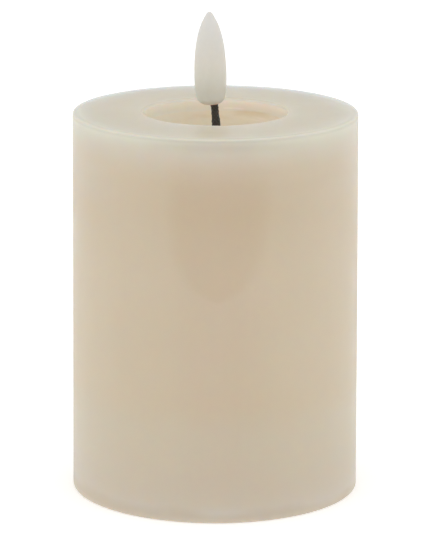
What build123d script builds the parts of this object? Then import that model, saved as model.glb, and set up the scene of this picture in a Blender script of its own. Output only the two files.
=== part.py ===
"""Flameless LED pillar candle: a hollow wax shell with a deep melt bowl cast into its top, a frosted flame bulb
on a black wick, and a screwed battery module for two AA cells that is glued into the open foot of the shell.

Frame: millimetres, +Z up, origin at the centre of the flat underside, -Y is the front.
"""

import math
import os

from build123d import *

os.makedirs("parts", exist_ok=True)

# ------------------------------------------------------------------ driving dimensions
H = 100.0  # height of the wax pillar
R_BASE, R_TOP = 37.5, 37.05  # mould draft: 75 mm across at the foot, a little less at the top
EDGE_TOP, EDGE_RIM, EDGE_FOOT = 0.6, 0.5, 0.5

RIM_R = 18.7  # mouth of the melt bowl
LIP_R, LIP_Z = 18.9, 96.8  # foot of the bowl's upright lip
BOWL = [(18.9, 96.8), (17.6, 92.0), (15.2, 86.3), (13.2, 80.0), (12.1, 72.0), (10.7, 65.0), (8.2, 59.4), (5.6, 56.2), (3.6, 54.9)]
BOWL_BACK = [(24.4, 94.2), (21.2, 91.9), (18.6, 86.9), (16.4, 80.6), (15.2, 72.0), (13.8, 64.2), (11.5, 57.6), (8.4, 53.2), (5.8, 50.9)]

POCKET_R, POCKET_TOP = 33.4, 30.6  # socket of the battery module
HOLLOW_R0, HOLLOW_R1 = 32.5, 32.2  # hollow above it
SLAB_Z, SLAB_FILLET = 94.2, 7.5  # underside of the top
HUB_Z, CHANNEL_R = 46.0, 2.65
SEAT_R, SEAT_Z = 3.15, 49.2  # seat of the wick grommet

# battery module, drawn with its own zero and raised by LIFT into the foot of the shell
LIFT = 1.4
FACE_Z = 0.6  # outer face of the base plate
PLATE_TOP = 3.0
PLATE_R = 33.2
CUP_R, CUP_WALL, CUP_TOP, CUP_SKIN = 33.0, 1.4, 28.6, 1.4
BAY_X, BAY_XY, BAY_Y, BAY_YX = 28.0, 11.0, 14.7, 25.6  # bay outline with cut corners
BAY_WALL, BAY_ROOF, ROOF = 1.2, 17.9, 1.2
CELL_R, CELL_LEN, CELL_Y, CELL_Z = 7.1, 50.5, 7.3, 10.4  # AA cell
NUB_R, NUB_LEN = 2.75, 1.3
CONTACT_T = 0.4

# door and hinge
DOOR_X, DOOR_XY, DOOR_Y, DOOR_YX = 29.2, 11.8, 16.0, 26.8
DOOR_GAP = 0.3
DOOR_Z0, DOOR_Z1 = 0.8, 2.1
LEDGE_Z = 2.25
HINGE_Y, HINGE_Z = -18.2, 0.9
ARM_X0, ARM_X1 = 11.0, 16.0
BARREL_R, KNUCKLE_R, PIN_R, PIN_HOLE_R = 1.5, 1.8, 0.9, 0.96
NOTCH_END = -20.1

# switch
SW_Y = 23.5
TRAVEL = 5.0
KNOB_X0 = -TRAVEL / 2

SCREWS = [(9.0, -26.8), (-9.0, -26.8), (15.5, 23.6), (-15.5, 23.6)]

# flame and wick
BULB_Z, BULB_X, BULB_LEAN = 101.95, -1.22, 1.07  # foot of the bulb and its lean towards -X, degrees
BULB = [(0.0, 0.0), (1.9, 0.0), (2.85, 0.42), (3.46, 1.1), (3.83, 2.1), (4.03, 3.5), (4.13, 5.5), (4.15, 8.1), (4.09, 10.4), (3.96, 12.5), (3.75, 14.6), (3.40, 16.7), (2.90, 18.8), (2.19, 20.9), (1.44, 22.45), (0.86, 23.45), (0.0, 24.05)]
BULB_BORE = [(2.5, 2.1), (3.08, 3.9), (3.22, 6.5), (3.21, 9.5), (2.98, 13.1), (2.4, 17.1), (1.5, 20.3), (0.0, 21.9)]
PLUG_R, PLUG_H = 2.5, 2.1
WICK_R, WICK_BORE = 1.0, 0.62
WICK_PTS = [(0.0, 0, 48.0), (0.0, 0, 58.0), (1.565, 0, 82.0), (-0.49, 0, 103.6)]
WICK_RADII = [140.0, 100.0]
LEAD_R, LEAD_Y = 0.22, 0.3


def save(node, *shapes):
    shape = shapes[0] if len(shapes) == 1 else Compound(children=list(shapes))
    export_step(shape, f"parts/{node}.step")


def lifted(*shapes):
    return [Pos(0, 0, LIFT) * s for s in shapes]


def cyl(r, z0, z1, x=0.0, y=0.0):
    return Pos(x, y, (z0 + z1) / 2) * Cylinder(r, z1 - z0)


def block(x0, x1, y0, y1, z0, z1):
    return Pos((x0 + x1) / 2, (y0 + y1) / 2, (z0 + z1) / 2) * Box(x1 - x0, y1 - y0, z1 - z0)


def prism(pts, z0, z1):
    return Pos(0, 0, z0) * extrude(make_face(Polyline(*pts, close=True)), z1 - z0)


def octagon(x, xy, y, yx, grow=0.0):
    x, y = x + grow, y + grow
    xy, yx = xy + 0.4 * grow, yx + 0.4 * grow
    return [(x, -xy), (x, xy), (yx, y), (-yx, y), (-x, xy), (-x, -xy), (-yx, -y), (yx, -y)]


def turned(pts):
    """Solid of revolution about Z of a closed (r, z) outline."""
    face = make_face(Plane.XZ * Polyline(*pts, close=True))
    return revolve(face, Axis.Z)


def tube_on(points, radii, r, bore=0.0):
    """Round wire or sleeve along straight runs joined by tangent arcs."""
    path = FilletPolyline(*points, radius=radii) if len(points) > 2 else Line(*points)
    direction = Vector(*points[1]) - Vector(*points[0])
    plane = Plane(origin=points[0], z_dir=direction)
    section = plane * Circle(r)
    body = sweep(section, path=path)
    if bore:
        body -= sweep(plane * Circle(bore), path=path)
    return body


# ------------------------------------------------------------------ wax pillar
def wax():
    inner = Spline(*[(r, 0, z) for r, z in BOWL])
    back = Spline(*[(r, 0, z) for r, z in BOWL_BACK])
    c, d = HOLLOW_R1 - SLAB_FILLET, SLAB_Z - SLAB_FILLET
    k = SLAB_FILLET * math.sqrt(0.5)
    corner = ThreePointArc((HOLLOW_R1, 0, d), (c + k, 0, d + k), (c, 0, SLAB_Z))
    outline = [
        Polyline((POCKET_R, 0, 0), (R_BASE, 0, 0), (R_TOP, 0, H), (RIM_R, 0, H), (LIP_R, 0, LIP_Z)),
        inner,
        Polyline(
            (BOWL[-1][0], 0, BOWL[-1][1]),
            (SEAT_R, 0, BOWL[-1][1] - 0.15),
            (SEAT_R, 0, SEAT_Z),
            (CHANNEL_R, 0, SEAT_Z),
            (CHANNEL_R, 0, HUB_Z),
            (BOWL_BACK[-1][0], 0, HUB_Z),
            (BOWL_BACK[-1][0], 0, BOWL_BACK[-1][1]),
        ),
        back,
        Polyline((BOWL_BACK[0][0], 0, SLAB_Z), (c, 0, SLAB_Z)),
        corner,
        Polyline((HOLLOW_R1, 0, d), (HOLLOW_R0, 0, POCKET_TOP), (POCKET_R, 0, POCKET_TOP), (POCKET_R, 0, 0)),
    ]
    body = revolve(make_face(Wire([e for part in outline for e in part.edges()])), Axis.Z)

    def ring(radius, z, tol=0.02):
        return [e for e in body.edges().filter_by(GeomType.CIRCLE) if abs(e.radius - radius) < tol and abs(e.arc_center.Z - z) < tol]

    body = fillet(ring(R_TOP, H), EDGE_TOP)
    body = fillet(ring(R_BASE, 0), EDGE_FOOT)
    body = fillet(ring(RIM_R, H), EDGE_RIM)
    return body


# ------------------------------------------------------------------ flame
def bulb_place():
    return Pos(BULB_X, 0, BULB_Z) * Rot(0, -BULB_LEAN, 0)


def bulb_profile():
    """Half outline of the hollow bulb, open at the foot where the plug closes it."""
    top = BULB[-1][1]
    outer, inner = [(PLUG_R, 0.28)] + BULB[2:-1], BULB_BORE
    tip = outer[-1]
    return make_face(
        Wire(
            [
                *Spline(*[(r, 0, z) for r, z in outer]).edges(),
                *TangentArc((0, 0, top), (tip[0], 0, tip[1]), tangent=(1, 0, 0)).edges(),
                *Line((0, 0, top), (0, 0, inner[-1][1])).edges(),
                *Spline(*[(r, 0, z) for r, z in inner]).edges(),
                *Line((PLUG_R, 0, PLUG_H), (PLUG_R, 0, 0.28)).edges(),
            ]
        )
    )


def wick_end():
    """Location at the wick's upper end, its z axis along the wick."""
    a, b = Vector(*WICK_PTS[-2]), Vector(*WICK_PTS[-1])
    return Plane(origin=b, z_dir=b - a, x_dir=(0, 1, 0)).location


def flame():
    place = bulb_place()
    bulb = place * revolve(bulb_profile(), Axis.Z)
    along = wick_end()
    wick_hole = along * cyl(WICK_R + 0.03, -6, 0.05)
    lead_holes = along * block(-0.62, 0.62, -0.32, 0.32, 0, 3)
    plug = cyl(PLUG_R - 0.01, 0.0, PLUG_H)
    plug = fillet(plug.edges().filter_by(GeomType.CIRCLE).sort_by(Axis.Z)[:1], 0.55)
    plug = place * plug - wick_hole - lead_holes
    led = along * (cyl(1.5, 1.5, 4.6) + Pos(0, 0, 4.6) * Sphere(1.5) + cyl(1.75, 1.5, 2.3))
    pins = [along * cyl(LEAD_R, 0.9, 1.5, s * LEAD_Y, 0) for s in (-1, 1)]
    return bulb, plug, led, pins


def wick_parts():
    wick = tube_on(WICK_PTS, WICK_RADII, WICK_R, WICK_BORE)
    a, b = Vector(*WICK_PTS[-2]), Vector(*WICK_PTS[-1])
    tip = b + (b - a).normalized() * 0.9
    leads = []
    for s in (-1, 1):
        pts = [(0, s * LEAD_Y, 22.85 + LIFT), (0, s * LEAD_Y, WICK_PTS[1][2]), (WICK_PTS[2][0], s * LEAD_Y, 82.0), (tip.X, s * LEAD_Y, tip.Z)]
        leads.append(tube_on(pts, WICK_RADII, LEAD_R))
    grommet = cyl(SEAT_R - 0.05, SEAT_Z, 54.6) + cyl(2.6, 54.6, 55.6)
    grommet = fillet([e for e in grommet.edges().filter_by(GeomType.CIRCLE) if abs(e.arc_center.Z - 55.6) < 0.01], 0.7)
    grommet -= cyl(WICK_R + 0.03, 40, 60)
    tube = cyl(2.5, 25.6 + LIFT, SEAT_Z) - cyl(1.7, 20, 60)
    return wick, leads, grommet, tube


# ------------------------------------------------------------------ battery module
def base_tray():
    plate = cyl(PLATE_R, FACE_Z, PLATE_TOP)
    plate = chamfer([e for e in plate.edges().filter_by(GeomType.CIRCLE) if abs(e.arc_center.Z - FACE_Z) < 0.01], 0.4)
    bay_out = prism(octagon(BAY_X, BAY_XY, BAY_Y, BAY_YX, BAY_WALL), PLATE_TOP, BAY_ROOF + ROOF)
    body = plate + bay_out
    # hinge knuckles
    for s in (-1, 1):
        x0, x1 = sorted((s * (ARM_X1 + 0.4), s * (ARM_X1 + 3.2)))
        body += Pos((x0 + x1) / 2, HINGE_Y, HINGE_Z) * Rot(0, 90, 0) * Cylinder(KNUCKLE_R, x1 - x0)
    # screw bosses
    for x, y in SCREWS:
        body += cyl(3.2, PLATE_TOP - 0.1, 7.9, x, y)
    # board posts
    for s in (-1, 1):
        body += cyl(2.4, BAY_ROOF + ROOF - 0.1, 21.6, s * 14.0, 0)
    # posts that hold the switch frame
    for s in (-1, 1):
        body += cyl(0.95, PLATE_TOP - 0.1, 3.5, s * 9.2, SW_Y) + cyl(1.6, 3.45, 4.2, s * 9.2, SW_Y)
    body -= prism(octagon(BAY_X, BAY_XY, BAY_Y, BAY_YX), LEDGE_Z - 1, BAY_ROOF)
    body -= prism(octagon(DOOR_X, DOOR_XY, DOOR_Y, DOOR_YX, DOOR_GAP), FACE_Z - 1, LEDGE_Z)
    for s in (-1, 1):
        x0, x1 = sorted((s * (ARM_X0 - 0.4), s * (ARM_X1 + 0.4)))
        body -= block(x0, x1, NOTCH_END, -DOOR_Y - DOOR_GAP + 0.05, FACE_Z - 1, PLATE_TOP + 0.01)
        body -= Pos(s * (ARM_X1 + 1.6), HINGE_Y, HINGE_Z) * Rot(0, 90, 0) * Cylinder(PIN_HOLE_R, 3.4)
    for x, y in SCREWS:
        body -= cyl(1.4, 0, 9, x, y) + cyl(2.7, 0, 2.5, x, y)
    for s in (-1, 1):
        body -= cyl(0.8, 19.3, 22, s * 14.0, 0)
    # thumb scoop beside the door, finger recess and slot of the switch
    scoop = Pos(0, DOOR_Y + DOOR_GAP, FACE_Z) * Rot(0, 90, 0) * Cylinder(1.5, 9.0)
    body -= scoop
    recess = block(-8.2, 8.2, SW_Y - 3.2, SW_Y + 3.2, FACE_Z - 1, 1.8)
    recess = fillet(recess.edges().filter_by(Axis.Z), 2.0)
    body -= recess
    body -= block(-4.5, 4.5, SW_Y - 1.3, SW_Y + 1.3, 0, 4)
    # contact slots through the bay roof
    for y in (-CELL_Y, CELL_Y):
        body -= block(BAY_X - 0.9, BAY_X + 0.05, y - 2.3, y + 2.3, BAY_ROOF - 1, BAY_ROOF + ROOF + 1)
    # raised marks beside the switch: off ring, on bar, timer dial
    marks = [
        cyl(1.3, FACE_Z - 0.2, FACE_Z + 0.1, -5.2, SW_Y + 5.6) - cyl(0.85, 0, 2, -5.2, SW_Y + 5.6),
        block(-0.25, 0.25, SW_Y + 4.4, SW_Y + 6.8, FACE_Z - 0.2, FACE_Z + 0.1),
        cyl(1.3, FACE_Z - 0.2, FACE_Z + 0.1, 5.2, SW_Y + 5.6)
        - cyl(0.95, 0, 2, 5.2, SW_Y + 5.6)
        + block(5.05, 5.35, SW_Y + 5.5, SW_Y + 6.7, FACE_Z - 0.2, FACE_Z + 0.1)
        + block(5.05, 5.95, SW_Y + 5.45, SW_Y + 5.75, FACE_Z - 0.2, FACE_Z + 0.1),
    ]
    for m in marks:
        body += m
    return body


def top_cup():
    cup = cyl(CUP_R, PLATE_TOP, CUP_TOP)
    cup = fillet([e for e in cup.edges().filter_by(GeomType.CIRCLE) if abs(e.arc_center.Z - CUP_TOP) < 0.01], 2.0)
    cup -= cyl(CUP_R - CUP_WALL, PLATE_TOP - 1, CUP_TOP - CUP_SKIN)
    for x, y in SCREWS:
        cup += cyl(2.6, 8.0, CUP_TOP - CUP_SKIN + 0.1, x, y)
    cup += cyl(4.0, 25.0, CUP_TOP - CUP_SKIN + 0.1)
    for x, y in SCREWS:
        cup -= cyl(1.05, 7, 16.0, x, y)
    cup -= cyl(2.55, 25.6, 30)
    cup -= cyl(1.8, 20, 26)
    return cup


def battery_door():
    body = prism(octagon(DOOR_X, DOOR_XY, DOOR_Y, DOOR_YX), DOOR_Z0, DOOR_Z1)
    # ribs that carry the cells
    for s in (-1, 1):
        body += block(s * 12 - 0.6, s * 12 + 0.6, -13.6, 13.6, DOOR_Z1 - 0.1, 3.15)
    # hinge arms, barrels and pins
    for s in (-1, 1):
        x0, x1 = sorted((s * ARM_X0, s * ARM_X1))
        body += block(x0, x1, HINGE_Y, -DOOR_Y + 1, DOOR_Z0, DOOR_Z1)
        body += Pos((x0 + x1) / 2, HINGE_Y, HINGE_Z) * Rot(0, 90, 0) * Cylinder(BARREL_R, x1 - x0)
        body += Pos(s * (ARM_X1 + 1.2), HINGE_Y, HINGE_Z) * Rot(0, 90, 0) * Cylinder(PIN_R, 2.8)
    # flexible tongue: two slits, grip ridges and a snap rib
    for s in (-1, 1):
        body -= block(s * 5.6 - 0.35, s * 5.6 + 0.35, 8.0, DOOR_Y + 1, 0, DOOR_Z1 + 0.01)
    body += Pos(0, DOOR_Y, (DOOR_Z0 + DOOR_Z1) / 2) * Rot(0, 90, 0) * Cylinder(0.24, 7.0)
    for i in range(4):
        body += Pos(0, 10.4 + 1.3 * i, DOOR_Z0) * Rot(0, 90, 0) * Cylinder(0.18, 7.6)
    return body


def cells():
    out = []
    for sign in (1, -1):  # +1: cell at -Y with its nub towards +X
        y = -CELL_Y * sign
        can = cyl(CELL_R, 0, CELL_LEN - NUB_LEN)
        can = fillet([e for e in can.edges().filter_by(GeomType.CIRCLE)], 0.5)
        nub = cyl(NUB_R, CELL_LEN - NUB_LEN - 0.2, CELL_LEN)
        body = can + nub
        x_tip = BAY_X - CONTACT_T - 0.5
        place = Pos(sign * (x_tip - CELL_LEN), y, CELL_Z) * (Rot(0, 90, 0) if sign > 0 else Rot(0, -90, 0))
        out.append(place * body)
    return out


def contacts():
    x0, x1 = BAY_X - CONTACT_T, BAY_X
    half, tab = 3.6, 2.0

    def plate(y, dimple):
        body = block(x0, x1, y - half, y + half, CELL_Z - 5, CELL_Z + 5)
        body += block(x0, x1, y - tab, y + tab, CELL_Z + 4.9, 21.0)
        if dimple:
            body += Pos(x0 - 0.24, y, CELL_Z) * Rot(0, 90, 0) * Cylinder(2.0, 0.5)
        return body

    positive = plate(-CELL_Y, True)
    negative = plate(CELL_Y, False)
    bridge = block(-x1, -x0, -10.6, 10.6, CELL_Z - 5, CELL_Z + 5)
    bridge += Pos(-x0 + 0.24, CELL_Y, CELL_Z) * Rot(0, 90, 0) * Cylinder(2.0, 0.5)
    return positive, negative, bridge


def spring(sign, y):
    """Conical contact spring from its plate to the flat end of a cell, as short tangent arcs."""
    wire, length, turns, r0, r1, steps = 0.35, 3.4, 3, 3.6, 2.3, 12
    pts = []
    for i in range(turns * steps + 1):
        f, a = i / (turns * steps), 2 * math.pi * i / steps
        r = r0 + (r1 - r0) * f
        pts.append((r * math.cos(a), r * math.sin(a), length * f))
    radii = []
    for p, q, r in zip(pts, pts[1:], pts[2:]):
        u, v = Vector(*q) - Vector(*p), Vector(*r) - Vector(*q)
        radii.append(0.49 * min(u.length, v.length) / math.tan(math.radians(u.get_angle(v)) / 2))
    path = FilletPolyline(*pts, radius=radii)
    coil = sweep(Plane(origin=path @ 0, z_dir=path % 0) * Circle(wire), path=path)
    x = BAY_X - CONTACT_T - wire - 0.05
    return Pos(sign * x, y, CELL_Z) * Rot(0, -90 * sign, 0) * coil


def switch_parts():
    frame = block(-11, 11, SW_Y - 3.5, SW_Y + 3.5, PLATE_TOP, 3.4)
    frame = fillet(frame.edges().filter_by(Axis.Z), 1.2)
    frame -= block(-4.5, 4.5, SW_Y - 1.4, SW_Y + 1.4, 2, 4)
    for s in (-1, 1):
        frame -= cyl(1.05, 2, 4, s * 9.2, SW_Y)
    case = block(-6.6, 6.6, SW_Y - 3.1, SW_Y + 3.1, 3.4, 8.2)
    case = chamfer(case.edges().group_by(Axis.Z)[-1], 0.4)
    case -= block(-5.4, 5.4, SW_Y - 2.1, SW_Y + 2.1, 3.3, 5.6)
    knob = block(KNOB_X0 - 1.6, KNOB_X0 + 1.6, SW_Y - 1.05, SW_Y + 1.05, 0.8, 3.9)
    knob = fillet(knob.edges().filter_by(Axis.Z), 0.3)
    knob += block(KNOB_X0 - 2.5, KNOB_X0 + 2.5, SW_Y - 1.9, SW_Y + 1.9, 3.6, 5.3)
    for i in (-1, 0, 1):
        knob -= block(KNOB_X0 + i * 0.9 - 0.18, KNOB_X0 + i * 0.9 + 0.18, SW_Y - 2, SW_Y + 2, 0, 1.1)
    pins = [block(x - 0.5, x + 0.5, SW_Y - 0.2, SW_Y + 0.2, 8.2, 11.0) for x in (-4.2, 0.0, 4.2)]
    return frame, case, knob, pins


def board():
    pcb = block(-18, 18, -11, 11, 21.6, 22.8)
    pcb = fillet(pcb.edges().filter_by(Axis.Z), 1.0)
    for s in (-1, 1):
        pcb -= cyl(1.1, 20, 24, s * 14.0, 0)
    t = 22.8
    ic = block(-9.4, -4.6, -6.9, -3.1, t + 0.15, t + 1.65)
    for i in range(4):
        x = -8.905 + 1.27 * i
        for s in (-1, 1):
            y0, y1 = sorted((-5.0 + s * 1.8, -5.0 + s * 2.9))
            ic += block(x - 0.2, x + 0.2, y0, y1, t, t + 0.25)
            y0, y1 = sorted((-5.0 + s * 1.7, -5.0 + s * 2.1))
            ic += block(x - 0.2, x + 0.2, y0, y1, t, t + 0.8)
    crystal = Pos(6.5, -6.6, t + 1.5) * Rot(0, 90, 0) * Cylinder(1.5, 6.0)
    crystal = fillet(crystal.edges().filter_by(GeomType.CIRCLE), 0.3)
    cap = Pos(7.0, 5.6, t + 2.0) * Rot(0, 90, 0) * Cylinder(2.0, 5.4)
    cap = fillet(cap.edges().filter_by(GeomType.CIRCLE), 0.3)
    chips = [block(x - 1.0, x + 1.0, y - 0.62, y + 0.62, t, t + 0.55) for x, y in ((-7, 1.0), (-7, 3.4), (-7, 5.8), (-1.5, -7.0), (-1.5, 6.4))]
    screws = []
    for s in (-1, 1):
        head = cyl(1.9, t, t + 1.3, s * 14.0, 0)
        head = fillet(head.edges().filter_by(GeomType.CIRCLE).sort_by(Axis.Z)[-1:], 0.5)
        sc = head + cyl(0.77, 19.6, t + 0.1, s * 14.0, 0)
        sc -= block(s * 14 - 1.1, s * 14 + 1.1, -0.2, 0.2, t + 0.7, t + 2) + block(s * 14 - 0.2, s * 14 + 0.2, -1.1, 1.1, t + 0.7, t + 2)
        screws.append(sc)
    return pcb, ic, crystal, cap, chips, screws


def base_screws():
    out = []
    for x, y in SCREWS:
        head = cyl(2.45, 1.0, 2.5, x, y)
        head = fillet(head.edges().filter_by(GeomType.CIRCLE).sort_by(Axis.Z)[:1], 0.6)
        sc = head + cyl(1.02, 2.4, 14.2, x, y)
        sc -= block(x - 1.3, x + 1.3, y - 0.28, y + 0.28, 0, 1.7) + block(x - 0.28, x + 0.28, y - 1.3, y + 1.3, 0, 1.7)
        out.append(sc)
    return out


def wires():
    t = 22.8
    red = tube_on([(BAY_X - 0.2, -CELL_Y, 21.02), (BAY_X - 0.2, -CELL_Y, 24.4), (15.6, -CELL_Y, 24.4), (15.6, -CELL_Y, t + 0.02)], [1.4, 0.8], 0.5)
    black = tube_on([(BAY_X - 0.2, CELL_Y, 21.02), (BAY_X - 0.2, CELL_Y, 24.4), (15.6, CELL_Y, 24.4), (15.6, CELL_Y, t + 0.02)], [1.4, 0.8], 0.5)
    sw = []
    for x in (-4.2, 0.0):
        sw.append(tube_on([(x, SW_Y, 11.02), (x, SW_Y, 24.6), (x, 9.4, 24.6), (x, 9.4, t + 0.02)], [3.5, 1.0], 0.5))
    return red, black, sw


def glue_dabs():
    out = []
    for deg in (90, 210, 330):
        dab = cyl(POCKET_R - 0.01, 9.0, 21.0) - cyl(CUP_R + 0.01, 8.0, 22.0)
        keep = Rot(0, 0, deg) * block(30.0, 35.0, -4.0, 4.0, 8.0, 22.0)
        out.append(dab & keep)
    return out


# ------------------------------------------------------------------ write the parts
save("wax_body", wax())
bulb, plug, led, pins = flame()
save("flame_bulb", bulb)
save("bulb_plug", plug)
save("led_emitter", led)
save("led_pins", *pins)
wick, leads, grommet, tube = wick_parts()
save("wick_sleeve", wick)
save("wick_leads", *leads)
save("wick_grommet", grommet)
save("wire_tube", tube)
save("base_tray", *lifted(base_tray()))
save("module_cup", *lifted(top_cup()))
save("base_screws", *lifted(*base_screws()))
save("glue_dabs", *glue_dabs())
save("battery_door", *lifted(battery_door()))
c1, c2 = cells()
save("battery_front", *lifted(c1))
save("battery_rear", *lifted(c2))
pos, neg, bridge = contacts()
save("contact_positive", *lifted(pos))
save("contact_negative", *lifted(neg))
save("contact_bridge", *lifted(bridge))
save("spring_negative", *lifted(spring(1, CELL_Y)))
save("spring_bridge", *lifted(spring(-1, -CELL_Y)))
frame, case, knob, pins = switch_parts()
save("switch_frame", *lifted(frame))
save("switch_case", *lifted(case))
save("switch_knob", *lifted(knob))
save("switch_terminals", *lifted(*pins))
pcb, ic, crystal, cap, chips, screws = board()
save("circuit_board", *lifted(pcb))
save("timer_chip", *lifted(ic))
save("timer_crystal", *lifted(crystal))
save("capacitor", *lifted(cap))
save("chip_resistors", *lifted(*chips))
save("board_screws", *lifted(*screws))
red, black, sw = wires()
save("wire_positive", *lifted(red))
save("wire_negative", *lifted(black))
save("switch_wires", *lifted(*sw))
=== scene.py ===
import math
import random

import bpy
import bmesh
from mathutils import Matrix, Vector, noise


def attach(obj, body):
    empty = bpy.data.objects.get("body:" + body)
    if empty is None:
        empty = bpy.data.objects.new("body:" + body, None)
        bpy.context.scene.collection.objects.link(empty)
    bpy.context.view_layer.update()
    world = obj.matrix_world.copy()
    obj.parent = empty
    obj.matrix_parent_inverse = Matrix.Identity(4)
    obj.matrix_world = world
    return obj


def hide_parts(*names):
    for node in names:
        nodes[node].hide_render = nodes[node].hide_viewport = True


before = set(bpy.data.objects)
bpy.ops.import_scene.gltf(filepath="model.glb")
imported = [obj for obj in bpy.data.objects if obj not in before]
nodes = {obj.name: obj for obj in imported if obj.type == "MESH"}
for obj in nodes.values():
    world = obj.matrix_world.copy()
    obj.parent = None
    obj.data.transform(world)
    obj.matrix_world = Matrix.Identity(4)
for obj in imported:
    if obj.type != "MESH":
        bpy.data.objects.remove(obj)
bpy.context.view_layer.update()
scene = bpy.context.scene
MM = 0.001
random.seed(7)

# ------------------------------------------------------------------ camera, light, floor
scene.view_settings.view_transform = "Standard"
scene.view_settings.look = "None"

cam_data = bpy.data.cameras.new("camera")
cam_data.sensor_width = 36.0
cam_data.lens = 243.23
cam_data.clip_start, cam_data.clip_end = 0.05, 20.0
cam = bpy.data.objects.new("camera", cam_data)
scene.collection.objects.link(cam)
eye, aim = Vector((0.0, -0.923000, 0.280609)), Vector((-0.000037, 0.0, 0.05804))
look = (aim - eye).normalized()
right = look.cross(Vector((0, 0, 1))).normalized()
up = right.cross(look)
roll = math.radians(0.1515)
r2 = right * math.cos(roll) + up * math.sin(roll)
u2 = r2.cross(look)
cam.matrix_world = Matrix(((r2.x, u2.x, -look.x, eye.x), (r2.y, u2.y, -look.y, eye.y), (r2.z, u2.z, -look.z, eye.z), (0, 0, 0, 1)))
scene.camera = cam

world = bpy.data.worlds.new("studio")
scene.world = world
world.use_nodes = True
FRONT_LIGHT, BACK_LIGHT = 0.88, 0.80


def studio_world():
    """White cyclorama: brighter behind the object than in front of it."""
    nt = world.node_tree
    lit = nt.nodes["Background"]
    tc = nt.nodes.new("ShaderNodeTexCoord")
    sep = nt.nodes.new("ShaderNodeSeparateXYZ")
    rng = nt.nodes.new("ShaderNodeMapRange")
    rng.interpolation_type = "SMOOTHSTEP"
    for k, x in (("From Min", -0.35), ("From Max", 0.55), ("To Min", FRONT_LIGHT), ("To Max", BACK_LIGHT)):
        rng.inputs[k].default_value = x
    nt.links.new(tc.outputs["Generated"], sep.inputs["Vector"])
    nt.links.new(sep.outputs["Y"], rng.inputs["Value"])
    nt.links.new(rng.outputs["Result"], lit.inputs["Strength"])
    lit.inputs["Color"].default_value = (1.0, 1.0, 1.0, 1)
    plain = nt.nodes.new("ShaderNodeBackground")
    plain.inputs["Color"].default_value = (1, 1, 1, 1)
    plain.inputs["Strength"].default_value = 1.0
    path = nt.nodes.new("ShaderNodeLightPath")
    both = nt.nodes.new("ShaderNodeMixShader")
    nt.links.new(path.outputs["Is Camera Ray"], both.inputs[0])
    nt.links.new(lit.outputs[0], both.inputs[1])
    nt.links.new(plain.outputs[0], both.inputs[2])
    nt.links.new(both.outputs[0], nt.nodes["World Output"].inputs["Surface"])


studio_world()


def area(name, loc, target, size, power, color=(1, 1, 1), size_y=None):
    d = bpy.data.lights.new(name, "AREA")
    d.energy, d.size, d.color = power, size, color
    if size_y:
        d.shape, d.size_y = "RECTANGLE", size_y
    o = bpy.data.objects.new(name, d)
    scene.collection.objects.link(o)
    o.location = loc
    o.rotation_euler = (Vector(target) - Vector(loc)).to_track_quat("-Z", "Y").to_euler()
    return o


area("softbox_top", (0.0, -0.05, 1.2), (0, 0, 0.05), 0.8, 0.5)
area("softbox_left", (-1.1, -0.45, 0.55), (0, 0, 0.06), 0.7, 0.14)
area("softbox_right", (1.1, -0.35, 0.55), (0, 0, 0.06), 0.7, 0.02)


# ------------------------------------------------------------------ material helpers
def new_mat(name):
    m = bpy.data.materials.new(name)
    m.use_nodes = True
    nt = m.node_tree
    return m, nt, nt.nodes["Principled BSDF"]


def link(nt, a, b):
    nt.links.new(a, b)


def coords(nt, scale=(1, 1, 1)):
    tc = nt.nodes.new("ShaderNodeTexCoord")
    mp = nt.nodes.new("ShaderNodeMapping")
    mp.inputs["Scale"].default_value = scale
    link(nt, tc.outputs["Object"], mp.inputs["Vector"])
    return mp.outputs["Vector"]


def noise_tex(nt, vec, scale, detail=3.0, rough=0.5, distort=0.0):
    n = nt.nodes.new("ShaderNodeTexNoise")
    n.inputs["Scale"].default_value = scale
    n.inputs["Detail"].default_value = detail
    n.inputs["Roughness"].default_value = rough
    n.inputs["Distortion"].default_value = distort
    link(nt, vec, n.inputs["Vector"])
    return n.outputs["Fac"]


def ramp(nt, fac, stops, interp="LINEAR"):
    r = nt.nodes.new("ShaderNodeValToRGB")
    r.color_ramp.interpolation = interp
    e = r.color_ramp.elements
    while len(e) < len(stops):
        e.new(0.5)
    for i, (p, c) in enumerate(stops):
        e[i].position = p
        e[i].color = (*c, 1) if len(c) == 3 else c
    link(nt, fac, r.inputs["Fac"])
    return r.outputs["Color"]


def mix(nt, fac, a, b, mode="MIX"):
    m = nt.nodes.new("ShaderNodeMix")
    m.data_type, m.blend_type = "RGBA", mode
    for sock, val in ((0, fac), (6, a), (7, b)):
        if hasattr(val, "is_linked") or hasattr(val, "links"):
            link(nt, val, m.inputs[sock])
        elif sock == 0:
            m.inputs[sock].default_value = val
        else:
            m.inputs[sock].default_value = (*val, 1)
    return m.outputs[2]


def math_node(nt, op, a, b=0.0, clamp=False):
    m = nt.nodes.new("ShaderNodeMath")
    m.operation, m.use_clamp = op, clamp
    for i, v in enumerate((a, b)):
        if hasattr(v, "links"):
            link(nt, v, m.inputs[i])
        else:
            m.inputs[i].default_value = v
    return m.outputs[0]


def map_range(nt, v, a, b, c=0.0, d=1.0, smooth=True):
    m = nt.nodes.new("ShaderNodeMapRange")
    m.interpolation_type = "SMOOTHSTEP" if smooth else "LINEAR"
    link(nt, v, m.inputs["Value"])
    for k, x in (("From Min", a), ("From Max", b), ("To Min", c), ("To Max", d)):
        m.inputs[k].default_value = x
    return m.outputs["Result"]


def xyz(nt, vec):
    s = nt.nodes.new("ShaderNodeSeparateXYZ")
    link(nt, vec, s.inputs["Vector"])
    return s.outputs["X"], s.outputs["Y"], s.outputs["Z"]


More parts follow.
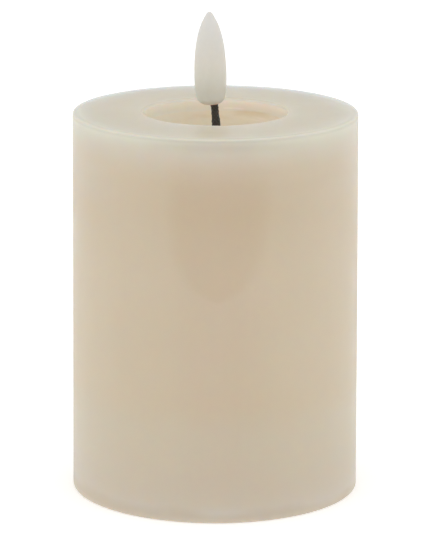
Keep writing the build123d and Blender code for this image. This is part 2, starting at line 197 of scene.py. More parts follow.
def bump(nt, bsdf, height, strength=0.3, distance=0.0002, normal=None):
    b = nt.nodes.new("ShaderNodeBump")
    b.inputs["Strength"].default_value = strength
    b.inputs["Distance"].default_value = distance
    link(nt, height, b.inputs["Height"])
    if normal is not None:
        link(nt, normal, b.inputs["Normal"])
    link(nt, b.outputs["Normal"], bsdf.inputs["Normal"])
    return b.outputs["Normal"]


def soft_edges(nt, radius):
    b = nt.nodes.new("ShaderNodeBevel")
    b.samples = 6
    b.inputs["Radius"].default_value = radius
    return b.outputs["Normal"]


# ------------------------------------------------------------------ materials
# wax colour up the wall, as (height in mm, colour): the wax's own ivory with painted light and shade, paler up the
# thick slab at the top, warmer on the thin wall below it, cooler on the foot round the module, and a painted contact
# shade along the bottom edge
WAX_UP = [
    (1.0, (0.543, 0.455, 0.333)),
    (4.0, (0.594, 0.523, 0.429)),
    (22.0, (0.604, 0.541, 0.431)),
    (32.0, (0.610, 0.523, 0.396)),
    (62.0, (0.617, 0.529, 0.403)),
    (79.0, (0.605, 0.515, 0.388)),
    (86.5, (0.611, 0.533, 0.420)),
    (91.0, (0.626, 0.553, 0.447)),
    (94.5, (0.631, 0.561, 0.452)),
    (97.5, (0.631, 0.582, 0.458)),
]
# the flat top, the lip and the bowl are lit and shaded copies of one wax, painted light and shade: a paler top, a pale
# lip and a warmer bowl wall
WAX_TOP, WAX_LIP, WAX_BOWL = (0.677, 0.618, 0.490), (0.833, 0.848, 0.808), (0.845, 0.820, 0.718)
WAX_RADIUS, BOWL_RADIUS, WAX_SCALE = (0.75, 1.2, 2.0), (0.50, 0.35, 0.26), 0.010
BOWL_GLOW = (0.080, 0.034, 0.006)  # daylight that comes through the wax into the bowl
# painted shade tints: the shield and funnel of the hollow showing through the wall, and the mouth band just below the
# top edge
SHIELD_SHADE, FUNNEL_SHADE, MOUTH_SHADE = (0.966, 0.948, 0.918), (0.993, 0.966, 0.918), (0.915, 0.890, 0.880)
# half-width of the shield, as (height in mm, half-width in mm)
SHIELD_OUT = [(57.0, -2.6), (58.5, 1.4), (60.5, 4.9), (62.6, 7.2), (64.6, 8.7), (67.0, 10.0), (70.0, 11.1), (76.0, 11.8), (87.0, 12.4)]


def tinted(nt, col, fac, tint):
    """Multiplies a colour by tint where fac is 1."""
    return mix(nt, fac, col, tint, "MULTIPLY")


def wax_material():
    m, nt, p = new_mat("ivory_wax")
    v = coords(nt)
    x, y, z = xyz(nt, v)
    mm = math_node(nt, "MULTIPLY", z, 1000.0)
    r = math_node(nt, "SQRT", math_node(nt, "ADD", math_node(nt, "MULTIPLY", x, x), math_node(nt, "MULTIPLY", y, y)))
    wander = noise_tex(nt, v, 45, 3, 0.5)
    ragged = math_node(nt, "ADD", mm, map_range(nt, wander, 0.3, 0.7, -1.2, 1.2, smooth=False))
    wall = ramp(nt, math_node(nt, "DIVIDE", ragged, 100.0), [(h / 100, c) for h, c in WAX_UP], "EASE")

    # painted shade: the hollow under the bowl, as it shows through the thin wall, painted on the front and back as a
    # darker soft-edged shield, and the wider funnel of the bowl's mouth above it
    across = math_node(nt, "ABSOLUTE", math_node(nt, "SUBTRACT", math_node(nt, "MULTIPLY", x, 1000.0), 0.7))
    grey = ramp(nt, map_range(nt, mm, 56.0, 88.0, smooth=False), [((h - 56) / 32, ((w + 4) / 20,) * 3) for h, w in SHIELD_OUT], "CARDINAL")
    half = math_node(nt, "SUBTRACT", math_node(nt, "MULTIPLY", grey, 20.0), 4.0)
    edge = math_node(nt, "ADD", math_node(nt, "SUBTRACT", across, half), map_range(nt, wander, 0.3, 0.7, -0.5, 0.5, smooth=False))
    shield_shade = math_node(nt, "MULTIPLY", map_range(nt, edge, -2.6, 2.4, 1.0, 0.0), map_range(nt, mm, 84.0, 95.0, 1.0, 0.0))
    reach = math_node(nt, "SUBTRACT", across, math_node(nt, "SUBTRACT", mm, 56.0))
    funnel_shade = math_node(nt, "MULTIPLY", map_range(nt, reach, -9.0, 7.0, 1.0, 0.0), math_node(nt, "MULTIPLY", map_range(nt, mm, 74.0, 90.0), map_range(nt, mm, 90.5, 95.5, 1.0, 0.0)))
    # painted shade: a slightly darker band straight up the middle of the wall, front and back, above the foot
    core = math_node(nt, "MULTIPLY", map_range(nt, across, 3.0, 16.0, 1.0, 0.0), map_range(nt, mm, 5.0, 14.0))
    wall = tinted(nt, wall, core, (0.990, 0.974, 0.980))
    wall = tinted(nt, wall, shield_shade, SHIELD_SHADE)
    wall = tinted(nt, wall, funnel_shade, FUNNEL_SHADE)
    # painted shade: a darker band high on the wall, just below the top, where the bowl's mouth lies behind it, front
    # and back
    mouth_shade = math_node(nt, "MULTIPLY", map_range(nt, across, 2.0, 26.0, 1.0, 0.0), map_range(nt, mm, 95.6, 98.2))
    wall = tinted(nt, wall, mouth_shade, MOUTH_SHADE)

    # the flat top, then the bowl: painted light and shade, a paler lip and a deeper, warmer wall, over drawn streaks of
    # the wax's own random tone
    col = mix(nt, map_range(nt, mm, 99.2, 99.85), wall, WAX_TOP)
    # painted shadow of the wick and flame bulb on the flat top in front of the wick
    wick_shadow = math_node(nt, "ABSOLUTE", math_node(nt, "ADD", math_node(nt, "MULTIPLY", x, 1000.0), 0.8))
    wick_shadow = math_node(nt, "MULTIPLY", map_range(nt, wick_shadow, 2.2, 5.6, 1.0, 0.0), math_node(nt, "MULTIPLY", map_range(nt, y, -0.018, -0.021), map_range(nt, y, -0.038, -0.033)))
    col = tinted(nt, col, math_node(nt, "MULTIPLY", wick_shadow, map_range(nt, mm, 98.8, 99.8)), (0.960, 0.940, 0.898))
    around = coords(nt, (0.22, 0.22, 1.6))
    drawn = noise_tex(nt, around, 260, 4, 0.55, 0.6)
    ledge = math_node(nt, "ADD", mm, map_range(nt, noise_tex(nt, v, 70, 2, 0.5), 0.3, 0.7, -0.35, 0.35, smooth=False))
    bowl = tinted(nt, WAX_BOWL, map_range(nt, drawn, 0.50, 0.68), (0.95, 0.92, 0.87))
    bowl = mix(nt, map_range(nt, drawn, 0.44, 0.33, 0.0, 0.55), bowl, (0.93, 0.89, 0.80))
    inner = mix(nt, map_range(nt, ledge, 96.25, 96.85), bowl, WAX_LIP)
    wide = math_node(nt, "MULTIPLY", x, 1000.0)
    # painted light: the left part of the bowl is painted less red, to match how the light falls on that side
    inner = tinted(nt, inner, map_range(nt, wide, 4.0, -14.0), (0.950, 0.992, 1.0))
    back = map_range(nt, y, 0.002, 0.006)
    # a darker, warmer slanting streak on the far wall of the bowl, to the right of the wick
    slant = math_node(nt, "SUBTRACT", mm, math_node(nt, "MULTIPLY", wide, 0.055))
    dark_streak = math_node(nt, "MULTIPLY", map_range(nt, wide, 3.0, 6.5), map_range(nt, wide, 12.0, 16.0, 1.0, 0.0))
    dark_streak = math_node(nt, "MULTIPLY", dark_streak, math_node(nt, "MULTIPLY", map_range(nt, slant, 94.4, 95.6), map_range(nt, slant, 96.0, 96.5, 1.0, 0.0)))
    inner = tinted(nt, inner, math_node(nt, "MULTIPLY", dark_streak, back), (0.935, 0.915, 0.865))
    # painted highlight: a thin pale streak high on the far wall of the bowl
    gleam = math_node(nt, "MULTIPLY", map_range(nt, wide, 1.5, 3.0), map_range(nt, wide, 6.0, 9.0, 1.0, 0.0))
    gleam = math_node(nt, "MULTIPLY", gleam, math_node(nt, "MULTIPLY", map_range(nt, mm, 96.75, 97.05), map_range(nt, mm, 97.2, 97.55, 1.0, 0.0)))
    inner = mix(nt, math_node(nt, "MULTIPLY", math_node(nt, "MULTIPLY", gleam, back), 0.7), inner, (0.95, 0.95, 0.93))
    into = math_node(nt, "MULTIPLY", map_range(nt, r, 0.0189, 0.0194, 1.0, 0.0), map_range(nt, mm, 99.2, 99.85, 1.0, 0.0))
    col = mix(nt, into, col, inner)

    cloud = noise_tex(nt, v, 38, 3, 0.5)
    streak = noise_tex(nt, coords(nt, (1, 1, 0.12)), 150, 3, 0.55)
    col = tinted(nt, col, map_range(nt, cloud, 0.35, 0.65), (0.990, 0.985, 0.978))
    col = tinted(nt, col, map_range(nt, streak, 0.4, 0.7), (0.994, 0.992, 0.988))
    # painted shade: the rounded outer edge of the top and the rim of the bowl are painted darker, to damp the bright
    # line the light puts along them; the same masks also make them rougher
    outer = math_node(nt, "MULTIPLY", map_range(nt, r, 0.0350, 0.0366), map_range(nt, mm, 98.6, 99.5))
    inside = math_node(nt, "MULTIPLY", math_node(nt, "MULTIPLY", map_range(nt, r, 0.0182, 0.0186), map_range(nt, r, 0.0189, 0.0196, 1.0, 0.0)), map_range(nt, mm, 98.8, 99.4))
    col = tinted(nt, col, outer, (0.888, 0.888, 0.883))
    col = tinted(nt, col, inside, (0.940, 0.935, 0.925))
    link(nt, col, p.inputs["Base Color"])
    p.inputs["Subsurface Weight"].default_value = 1.0
    link(nt, mix(nt, into, WAX_RADIUS, BOWL_RADIUS), p.inputs["Subsurface Radius"])
    p.inputs["Subsurface Scale"].default_value = WAX_SCALE
    p.inputs["Subsurface Anisotropy"].default_value = 0.0
    p.inputs["Emission Color"].default_value = (*BOWL_GLOW, 1)
    link(nt, into, p.inputs["Emission Strength"])
    p.inputs["IOR"].default_value = 1.44
    p.inputs["Specular IOR Level"].default_value = 0.22
    rough = map_range(nt, noise_tex(nt, v, 60, 4, 0.6), 0.3, 0.7, 0.34, 0.46)
    link(nt, mix(nt, math_node(nt, "ADD", outer, inside, clamp=True), rough, (0.85, 0.85, 0.85)), p.inputs["Roughness"])
    fine = noise_tex(nt, v, 900, 4, 0.6)
    ripple = noise_tex(nt, coords(nt, (1, 1, 0.3)), 120, 2, 0.5)
    h = math_node(nt, "ADD", math_node(nt, "MULTIPLY", fine, 0.15), math_node(nt, "MULTIPLY", ripple, 0.85))
    bump(nt, p, h, 0.22, 0.0004)
    return m


# colour of the frosted bulb up its height, with painted shade: darker low down, above the wick, and lighter towards the
# tip
FLAME_UP = [
    (0.063, (0.703, 0.718, 0.677)),
    (0.172, (0.698, 0.688, 0.616)),
    (0.337, (0.746, 0.731, 0.653)),
    (0.500, (0.766, 0.735, 0.670)),
    (0.716, (0.741, 0.722, 0.672)),
    (0.933, (0.751, 0.733, 0.698)),
]


def bulb_material():
    m, nt, p = new_mat("frosted_flame")
    v = coords(nt)
    x, y, z = xyz(nt, v)
    t = map_range(nt, z, 0.1015, 0.1255, 0.0, 1.0, smooth=False)
    col = ramp(nt, t, FLAME_UP)
    grain = noise_tex(nt, v, 700, 3, 0.6)
    col = mix(nt, map_range(nt, grain, 0.3, 0.7, 0.0, 0.06), col, (0.95, 0.94, 0.90))
    link(nt, col, p.inputs["Base Color"])
    p.inputs["Subsurface Weight"].default_value = 1.0
    p.inputs["Subsurface Radius"].default_value = (1.0, 0.9, 0.75)
    p.inputs["Subsurface Scale"].default_value = 0.0006
    p.inputs["IOR"].default_value = 1.49
    link(nt, map_range(nt, noise_tex(nt, v, 300, 3, 0.6), 0.3, 0.7, 0.40, 0.55), p.inputs["Roughness"])
    bump(nt, p, noise_tex(nt, v, 1600, 4, 0.65), 0.25, 0.00008)
    return m


def braid_material():
    m, nt, p = new_mat("black_wick_braid")
    v = coords(nt)
    fibre = noise_tex(nt, coords(nt, (1, 1, 0.25)), 3800, 4, 0.65)
    col = ramp(nt, fibre, [(0.25, (0.010, 0.009, 0.007)), (0.75, (0.052, 0.047, 0.038))])
    link(nt, col, p.inputs["Base Color"])
    p.inputs["Roughness"].default_value = 0.62
    p.inputs["Sheen Weight"].default_value = 0.25
    p.inputs["Sheen Roughness"].default_value = 0.4
    bump(nt, p, fibre, 0.6, 0.00006)
    return m


def plastic(name, color, rough=0.42, grain=1400, strength=0.25, spread=0.06, bevel=0.00015, sss=0.0, dust=None):
    m, nt, p = new_mat(name)
    v = coords(nt)
    lo = tuple(max(c * (1 - spread), 0) for c in color)
    hi = tuple(min(c * (1 + spread), 1) for c in color)
    col = ramp(nt, noise_tex(nt, v, 90, 4, 0.6), [(0.3, lo), (0.7, hi)])
    link(nt, col, p.inputs["Base Color"])
    link(nt, map_range(nt, noise_tex(nt, v, 160, 4, 0.6), 0.3, 0.7, rough - 0.06, rough + 0.08), p.inputs["Roughness"])
    p.inputs["IOR"].default_value = 1.5
    if sss:
        p.inputs["Subsurface Weight"].default_value = sss
        p.inputs["Subsurface Radius"].default_value = (1.0, 0.8, 0.6)
        p.inputs["Subsurface Scale"].default_value = 0.0008
    bump(nt, p, noise_tex(nt, v, grain, 3, 0.6), strength, 0.00006, soft_edges(nt, bevel))
    return m


def metal(name, color, rough=0.3, brush=(1, 1, 1), scale=1500, spread=0.1, bevel=0.00008):
    m, nt, p = new_mat(name)
    v = coords(nt, brush)
    n = noise_tex(nt, v, scale, 4, 0.65)
    lo = tuple(c * (1 - spread) for c in color)
    hi = tuple(min(c * (1 + spread), 1) for c in color)
    link(nt, ramp(nt, n, [(0.3, lo), (0.7, hi)]), p.inputs["Base Color"])
    p.inputs["Metallic"].default_value = 1.0
    link(nt, map_range(nt, n, 0.3, 0.7, rough - 0.07, rough + 0.1), p.inputs["Roughness"])
    bump(nt, p, n, 0.18, 0.00003, soft_edges(nt, bevel))
    return m


def cell_material(name, flip):
    """Shrink sleeve in two tones along the cell, bare metal at the nub and round the crimped ends."""
    m, nt, p = new_mat(name)
    v = coords(nt)
    x, y, z = xyz(nt, v)
    along = math_node(nt, "MULTIPLY", x, -1.0 if flip else 1.0)
    sleeve = mix(nt, map_range(nt, along, 0.0118, 0.0119, 0.0, 1.0), (0.022, 0.026, 0.034), (0.55, 0.30, 0.11))
    fleck = noise_tex(nt, v, 900, 3, 0.6)
    sleeve = mix(nt, map_range(nt, fleck, 0.4, 0.7, 0.0, 0.12), sleeve, (0.5, 0.5, 0.5))
    bare_hi = map_range(nt, along, 0.02525, 0.0253, 0.0, 1.0)
    bare_lo = map_range(nt, along, -0.0229, -0.02295, 0.0, 1.0)
    bare = math_node(nt, "ADD", bare_hi, bare_lo, True)
    link(nt, mix(nt, bare, sleeve, (0.72, 0.72, 0.71)), p.inputs["Base Color"])
    link(nt, bare, p.inputs["Metallic"])
    link(nt, map_range(nt, fleck, 0.3, 0.7, 0.22, 0.34), p.inputs["Roughness"])
    bump(nt, p, fleck, 0.12, 0.00004, soft_edges(nt, 0.0002))
    return m


def board_material():
    m, nt, p = new_mat("driver_board")
    v = coords(nt)
    x, y, z = xyz(nt, v)
    weave = nt.nodes.new("ShaderNodeTexBrick")
    weave.inputs["Scale"].default_value = 260
    weave.inputs["Mortar Size"].default_value = 0.06
    weave.offset = 0.0
    weave.inputs["Color1"].default_value = (0.012, 0.085, 0.03, 1)
    weave.inputs["Color2"].default_value = (0.016, 0.10, 0.035, 1)
    weave.inputs["Mortar"].default_value = (0.05, 0.20, 0.07, 1)
    link(nt, v, weave.inputs["Vector"])
    vor = nt.nodes.new("ShaderNodeTexVoronoi")
    vor.feature, vor.distance = "F1", "CHEBYCHEV"
    vor.inputs["Scale"].default_value = 520
    link(nt, v, vor.inputs["Vector"])
    trace = map_range(nt, vor.outputs["Distance"], 0.52, 0.56, 0.0, 0.8)
    link(nt, mix(nt, trace, weave.outputs["Color"], (0.06, 0.26, 0.09)), p.inputs["Base Color"])
    p.inputs["Roughness"].default_value = 0.32
    p.inputs["Coat Weight"].default_value = 0.3
    bump(nt, p, trace, 0.3, 0.00005)
    return m


def chip_material():
    m, nt, p = new_mat("timer_chip_legs")
    v = coords(nt)
    x, y, z = xyz(nt, v)
    off = math_node(nt, "ABSOLUTE", math_node(nt, "ADD", y, 0.005))
    leg = map_range(nt, off, 0.00188, 0.00192, 0.0, 1.0)
    grain = noise_tex(nt, v, 2600, 3, 0.6)
    black = ramp(nt, grain, [(0.3, (0.012, 0.012, 0.013)), (0.7, (0.03, 0.03, 0.032))])
    link(nt, mix(nt, leg, black, (0.7, 0.7, 0.71)), p.inputs["Base Color"])
    link(nt, leg, p.inputs["Metallic"])
    p.inputs["Roughness"].default_value = 0.4
    bump(nt, p, grain, 0.3, 0.00004)
    return m


def glue_material():
    m, nt, p = new_mat("hot_melt_glue")
    v = coords(nt)
    n = noise_tex(nt, v, 420, 4, 0.6)
    link(nt, ramp(nt, n, [(0.3, (0.70, 0.66, 0.54)), (0.7, (0.80, 0.77, 0.68))]), p.inputs["Base Color"])
    p.inputs["Subsurface Weight"].default_value = 0.8
    p.inputs["Subsurface Scale"].default_value = 0.001
    p.inputs["Roughness"].default_value = 0.35
    bump(nt, p, n, 0.4, 0.0002)
    return m


WAX = wax_material()
BULB = bulb_material()
BRAID = braid_material()
IVORY = plastic("ivory_moulding", (0.72, 0.66, 0.53), 0.46, sss=0.15)
IVORY_DOOR = plastic("ivory_door_moulding", (0.74, 0.68, 0.55), 0.44, sss=0.15)
BLACK = plastic("black_moulding", (0.022, 0.022, 0.023), 0.40)
RUBBER = plastic("black_rubber", (0.025, 0.024, 0.023), 0.62, 900, 0.35)
CAP_SLEEVE = plastic("capacitor_sleeve", (0.03, 0.05, 0.16), 0.25)
RED = plastic("red_insulation", (0.50, 0.02, 0.015), 0.34, 1100, 0.2)
DARK_WIRE = plastic("black_insulation", (0.015, 0.015, 0.016), 0.34, 1100, 0.2)
ENAMEL = plastic("enamelled_copper", (0.36, 0.13, 0.05), 0.25)
GLUE = glue_material()
SCREW = metal("zinc_screw", (0.62, 0.62, 0.63), 0.30, (1, 1, 0.3), 1800)
NICKEL = metal("nickel_strip", (0.66, 0.65, 0.62), 0.26, (0.1, 1, 1), 1700)
SPRING = metal("spring_wire", (0.60, 0.60, 0.60), 0.24, (1, 1, 1), 2400)
STAMPED = metal("stamped_frame", (0.58, 0.59, 0.60), 0.34, (0.15, 1, 1), 1500)
TIN = metal("tinned_copper", (0.72, 0.71, 0.69), 0.30, (1, 1, 0.2), 2600)
CAN = metal("crystal_can", (0.70, 0.71, 0.72), 0.22, (0.2, 1, 1), 1600)
LED = plastic("led_lens", (0.80, 0.70, 0.42), 0.12, 800, 0.1, sss=0.7)

FINISH = {
    "bulb_plug": GLUE, "led_emitter": LED, "led_pins": TIN, "wick_leads": ENAMEL, "wick_grommet": RUBBER, "wire_tube": RUBBER,
    "base_tray": IVORY, "module_cup": IVORY, "base_screws": SCREW, "glue_dabs": GLUE, "battery_door": IVORY_DOOR,
    "battery_front": cell_material("cell_sleeve_front", False), "battery_rear": cell_material("cell_sleeve_rear", True),
    "contact_positive": NICKEL, "contact_negative": NICKEL, "contact_bridge": NICKEL, "spring_negative": SPRING, "spring_bridge": SPRING,
    "switch_frame": STAMPED, "switch_case": BLACK, "switch_knob": BLACK, "switch_terminals": TIN, "circuit_board": board_material(),
    "timer_chip": chip_material(), "timer_crystal": CAN, "capacitor": CAP_SLEEVE, "chip_resistors": BLACK, "board_screws": SCREW,
    "wire_positive": RED, "wire_negative": DARK_WIRE, "switch_wires": DARK_WIRE,
}
for name, m in FINISH.items():
    o = nodes[name]
    if not o.material_slots:
        o.data.materials.append(m)
    for s in o.material_slots:
        s.material = m


# ------------------------------------------------------------------ geometry helpers
def add_object(name, mesh, material, smooth=True):
    o = bpy.data.objects.new(name, mesh)
    scene.collection.objects.link(o)
    mesh.materials.append(material)
    if smooth:
        for f in mesh.polygons:
            f.use_smooth = True
    return o


def spline_points(pts, per=6):
    """Catmull-Rom curve through (r, z) points."""
    out = []
    n = len(pts)
    for i in range(n - 1):
        p0 = Vector(pts[i - 1]) if i else 2 * Vector(pts[0]) - Vector(pts[1])
        p1, p2 = Vector(pts[i]), Vector(pts[i + 1])
        p3 = Vector(pts[i + 2]) if i + 2 < n else 2 * Vector(pts[-1]) - Vector(pts[-2])
        for k in range(per):
            t = k / per
            out.append(tuple(0.5 * ((2 * p1) + (p2 - p0) * t + (2 * p0 - 5 * p1 + 4 * p2 - p3) * t * t + (3 * p1 - p0 - 3 * p2 + p3) * t ** 3)))
    out.append(tuple(pts[-1]))
    return out


def arc_points(c, r, a0, a1, n):
    return [(c[0] + r * math.cos(math.radians(a0 + (a1 - a0) * k / n)), c[1] + r * math.sin(math.radians(a0 + (a1 - a0) * k / n))) for k in range(n + 1)]


def run(a, b, n, ends=(True, True)):
    ks = range(0 if ends[0] else 1, n + 1 if ends[1] else n)
    return [(a[0] + (b[0] - a[0]) * k / n, a[1] + (b[1] - a[1]) * k / n) for k in ks]


def lathe(name, profile, segments, shape=None, closed=True, axis_ends=False):
    """Turns an (r, z) outline in millimetres; shape(r, z, angle, tag) returns the point's own (r, z)."""
    bm = bmesh.new()
    rings = []
    for item in profile:
        r, z, tag = item if len(item) == 3 else (*item, "")
        ring = []
        if r < 1e-6:
            rr, zz = (r, z) if shape is None else shape(r, z, 0.0, tag)
            ring = [bm.verts.new((0, 0, zz * MM))]
        else:
            for k in range(segments):
                a = 2 * math.pi * k / segments
                rr, zz = (r, z) if shape is None else shape(r, z, a, tag)
                ring.append(bm.verts.new((rr * math.cos(a) * MM, rr * math.sin(a) * MM, zz * MM)))
        rings.append(ring)
    pairs = list(zip(rings, rings[1:] + ([rings[0]] if closed else [])))
    if not closed:
        pairs = pairs[: len(rings) - 1]
    for lo, hi in pairs:
        n = max(len(lo), len(hi))
        for k in range(n):
            q = (k + 1) % n
            if len(lo) == 1 and len(hi) == 1:
                continue
            if len(lo) == 1:
                bm.faces.new((lo[0], hi[q], hi[k]))
            elif len(hi) == 1:
                bm.faces.new((lo[k], lo[q], hi[0]))
            else:
                bm.faces.new((lo[k], lo[q], hi[q], hi[k]))
    bmesh.ops.recalc_face_normals(bm, faces=bm.faces)
    mesh = bpy.data.meshes.new(name)
    bm.to_mesh(mesh)
    bm.free()
    return mesh


# ------------------------------------------------------------------ wax shell
H, R_BASE, R_TOP = 100.0, 37.5, 37.05
BOWL = [(18.9, 96.8), (17.6, 92.0), (15.2, 86.3), (13.2, 80.0), (12.1, 72.0), (10.7, 65.0), (8.2, 59.4), (5.6, 56.2), (3.6, 54.9)]
BACK = [(5.8, 50.9), (8.4, 53.2), (11.5, 57.6), (13.8, 64.2), (15.2, 72.0), (16.4, 80.6), (18.6, 86.9), (21.2, 91.9), (24.4, 94.2)]


def wall_r(z):
    return R_BASE + (R_TOP - R_BASE) * z / H


def wax_profile():
    tag = lambda pts, t: [(r, z, t) for r, z in pts]
    out = tag(run((33.45, 0.0), (36.95, 0.0), 4), "foot")
    out += tag(arc_points((wall_r(0.55) - 0.55, 0.55), 0.55, -90, 0, 6)[1:], "wall")
    out += tag([(wall_r(z), z) for z in [0.55 + (99.3 - 0.55) * k / 90 for k in range(1, 91)]], "wall")
    out += tag(arc_points((wall_r(99.4) - 0.6, 99.4), 0.6, 0, 90, 8), "edge")
    out += tag(run((wall_r(99.4) - 0.6, 100.0), (19.25, 100.0), 26, (False, True)), "top")
    out += tag(arc_points((19.25, 99.45), 0.55, 90, 180, 8)[1:], "rim")
    out += tag(run((18.7, 99.45), (18.9, 96.8), 9, (False, False)), "lip")
    out += tag(spline_points(BOWL, 9), "bowl")
    out += tag([(3.15, 54.75), (3.15, 49.2), (2.65, 49.2), (2.65, 46.0), (5.8, 46.0)], "hub")
    out += tag(spline_points(BACK, 5), "back")
    out += tag(arc_points((24.7, 86.7), 7.5, 90, 0, 10), "back")
    out += tag(run((32.2, 86.7), (32.5, 30.6), 12, (False, True)), "back")
    out += tag([(33.4, 30.6), (33.4, 0.02)], "pocket")
    return out


def wax_shape(r, z, a, tag):
    c, s = math.cos(a), math.sin(a)
    if tag in ("wall", "edge"):
        slow = noise.noise(Vector((c * 1.3, s * 1.3, z * 0.012))) * 0.06 + noise.noise(Vector((c * 6, s * 6, z * 0.02 + 9))) * 0.025
        fine = noise.noise(Vector((c * 14, s * 14, z * 0.25 + 3))) * 0.012
        r -= 0.06 + slow + fine
        if tag == "edge":
            z -= 0.05 + 0.05 * noise.noise(Vector((c * 5, s * 5, 2.0)))
    elif tag == "top":
        z -= 0.05 + 0.05 * noise.noise(Vector((r * c * 0.07, r * s * 0.07, 5.0))) + 0.015 * noise.noise(Vector((r * c * 0.4, r * s * 0.4, 1.0)))
    elif tag in ("rim", "lip", "bowl"):
        k = min(max((z - 60) / 20, 0), 1) * (1.0 if z < 94 else 1.0 - 0.55 * min((z - 94) / 4, 1))
        r += k * (0.26 * noise.noise(Vector((c * 3.5, s * 3.5, z * 0.12))) + 0.09 * noise.noise(Vector((c * 11, s * 11, z * 0.35))))
        if tag == "rim":
            z -= 0.05 + 0.05 * noise.noise(Vector((r * c * 0.07, r * s * 0.07, 5.0)))
    return r, z


wax = add_object("wax_pillar", lathe("wax_pillar", wax_profile(), 320, wax_shape), WAX)
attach(wax, "candle")
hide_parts("wax_body")


# ------------------------------------------------------------------ flame bulb
BULB_PTS = [(2.5, 0.28), (2.85, 0.42), (3.46, 1.1), (3.83, 2.1), (4.03, 3.5), (4.13, 5.5), (4.15, 8.1), (4.09, 10.4), (3.96, 12.5), (3.75, 14.6), (3.40, 16.7), (2.90, 18.8), (2.19, 20.9), (1.44, 22.45), (0.86, 23.45)]
BORE = [(1.5, 20.3), (2.4, 17.1), (2.98, 13.1), (3.21, 9.5), (3.22, 6.5), (3.08, 3.9), (2.52, 2.1)]


def bulb_profile():
    out = spline_points(BULB_PTS, 5)[:-1]
    out += [(r, z) for r, z in arc_points((0.0, 23.134), 0.916, 20.0, 90.0, 8)[:-1]] + [(0.0, 24.05)]
    out += [(0.0, 21.9)] + spline_points([(0.75, 21.5)] + BORE, 4) + [(2.52, 0.28)]
    return out


bulb_mesh = lathe("flame", bulb_profile(), 96, lambda r, z, a, t: (r, z), closed=True)
place = Matrix.Translation((-1.22 * MM, 0, 101.95 * MM)) @ Matrix.Rotation(math.radians(-1.07), 4, "Y")
bulb_mesh.transform(place)
flame = add_object("flame_bulb_shell", bulb_mesh, BULB)
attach(flame, "candle")
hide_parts("flame_bulb")


# ------------------------------------------------------------------ braided wick
def wick_path():
    """Centre line of the wick: straight runs joined by tangent arcs, in millimetres."""
    pts = [Vector((0, 0, 48.0)), Vector((0, 0, 58.0)), Vector((1.565, 0, 82.0)), Vector((-0.49, 0, 103.6))]
    radii = [140.0, 100.0]
    out = [pts[0]]
    for i, rad in enumerate(radii):
        a, b, c = pts[i], pts[i + 1], pts[i + 2]
        u, w = (a - b).normalized(), (c - b).normalized()
        half = u.angle(w) / 2
        cut = rad / math.tan(half)
        p, q = b + u * cut, b + w * cut
        centre = b + (u + w).normalized() * (rad / math.sin(half))
        out.append(p)
        for k in range(1, 12):
            d = ((p - centre) * (1 - k / 12) + (q - centre) * (k / 12)).normalized()
            out.append(centre + d * rad)
        out.append(q)
    out.append(pts[-1])
    return out


def resample(pts, step):
    cum = [0.0]
    for a, b in zip(pts, pts[1:]):
        cum.append(cum[-1] + (b - a).length)
    n = int(cum[-1] / step)
    out, j = [], 0
    for k in range(n + 1):
        s = cum[-1] * k / n
        while j < len(cum) - 2 and cum[j + 1] < s:
            j += 1
        t = (s - cum[j]) / max(cum[j + 1] - cum[j], 1e-9)
        out.append((s, pts[j].lerp(pts[j + 1], t)))
    return out


def strand(bm, centre, size, sides=8):
    """Tube of oval section along a list of (point, outward) pairs."""
    rings = []
    n = len(centre)
    for i, (p, out) in enumerate(centre):
        t = (centre[min(i + 1, n - 1)][0] - centre[max(i - 1, 0)][0]).normalized()
        side = t.cross(out).normalized()
        outw = side.cross(t).normalized()
        ring = []
        for k in range(sides):
            a = 2 * math.pi * k / sides
            ring.append(bm.verts.new((p + side * (size[0] * math.cos(a)) + outw * (size[1] * math.sin(a))) * MM))
        rings.append(ring)
    for lo, hi in zip(rings, rings[1:]):
        for k in range(sides):
            q = (k + 1) % sides
            bm.faces.new((lo[k], lo[q], hi[q], hi[k]))
    bm.faces.new(list(reversed(rings[0])))
    bm.faces.new(rings[-1])


def wick_swell(z):
    """The braid is a fifth thicker where it goes down past the bowl's lip."""
    t = min(max((99.6 - z) / 3.0, 0), 1)
    u = min(max((z - 86.0) / 6.0, 0), 1)
    return 1.0 + 0.19 * t * t * (3 - 2 * t) * u * u * (3 - 2 * u)


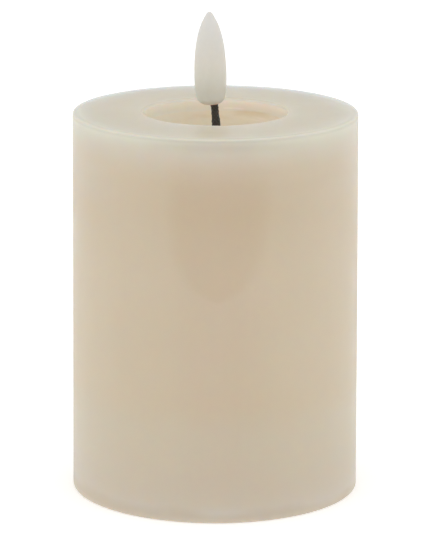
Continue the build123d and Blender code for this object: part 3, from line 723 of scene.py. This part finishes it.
def braid():
    bm = bmesh.new()
    path = resample(wick_path(), 0.18)
    core_r, pitch = 0.78, 5.2
    # core that fills the gaps between the strands
    strand(bm, [(p, Vector((0, 1, 0))) for s, p in path], (core_r, core_r), 20)
    count = 5
    for turn in (1, -1):
        for j in range(count):
            line = []
            for s, p in path:
                a = turn * 2 * math.pi * s / pitch + 2 * math.pi * j / count
                cross = math.cos(count * 2 * math.pi * s / pitch * 2 / 2 + (0 if turn > 0 else math.pi) + math.pi * j)
                swell = wick_swell(p.z)
                rr = (0.80 + 0.045 * cross) * swell
                d = Vector((math.cos(a), math.sin(a), 0))
                line.append((p + d * rr, d))
            strand(bm, line, (0.33, 0.19), 8)
    bmesh.ops.recalc_face_normals(bm, faces=bm.faces)
    mesh = bpy.data.meshes.new("wick_braid")
    bm.to_mesh(mesh)
    bm.free()
    return mesh


wick = add_object("wick_braid", braid(), BRAID)
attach(wick, "candle")
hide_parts("wick_sleeve")


# ------------------------------------------------------------------ floor
def stage_floor():
    # a wide disc, open under the object's foot and clear from below, so the underside can be looked at
    bm = bmesh.new()
    rings = [[bm.verts.new((rad * math.cos(a), rad * math.sin(a), 0.0)) for a in (2 * math.pi * i / 96 for i in range(96))] for rad in (0.030, 6.0)]
    for i in range(96):
        j = (i + 1) % 96
        bm.faces.new((rings[0][i], rings[1][i], rings[1][j], rings[0][j]))
    mesh = bpy.data.meshes.new("studio_floor")
    bm.to_mesh(mesh)
    bm.free()
    m, nt, p = new_mat("studio_floor")
    v = coords(nt)
    link(nt, ramp(nt, noise_tex(nt, v, 3, 2, 0.5), [(0.3, (0.93, 0.93, 0.93)), (0.7, (0.945, 0.945, 0.945))]), p.inputs["Base Color"])
    p.inputs["Roughness"].default_value = 0.9
    p.inputs["Emission Color"].default_value = (1, 1, 1, 1)
    p.inputs["Emission Strength"].default_value = 0.33
    geo, clear, both = nt.nodes.new("ShaderNodeNewGeometry"), nt.nodes.new("ShaderNodeBsdfTransparent"), nt.nodes.new("ShaderNodeMixShader")
    link(nt, geo.outputs["Backfacing"], both.inputs[0])
    link(nt, p.outputs[0], both.inputs[1])
    link(nt, clear.outputs[0], both.inputs[2])
    link(nt, both.outputs[0], nt.nodes["Material Output"].inputs["Surface"])
    o = add_object("studio_floor", mesh, m, False)
    o.location.z = -0.00002
    return o


stage_floor()
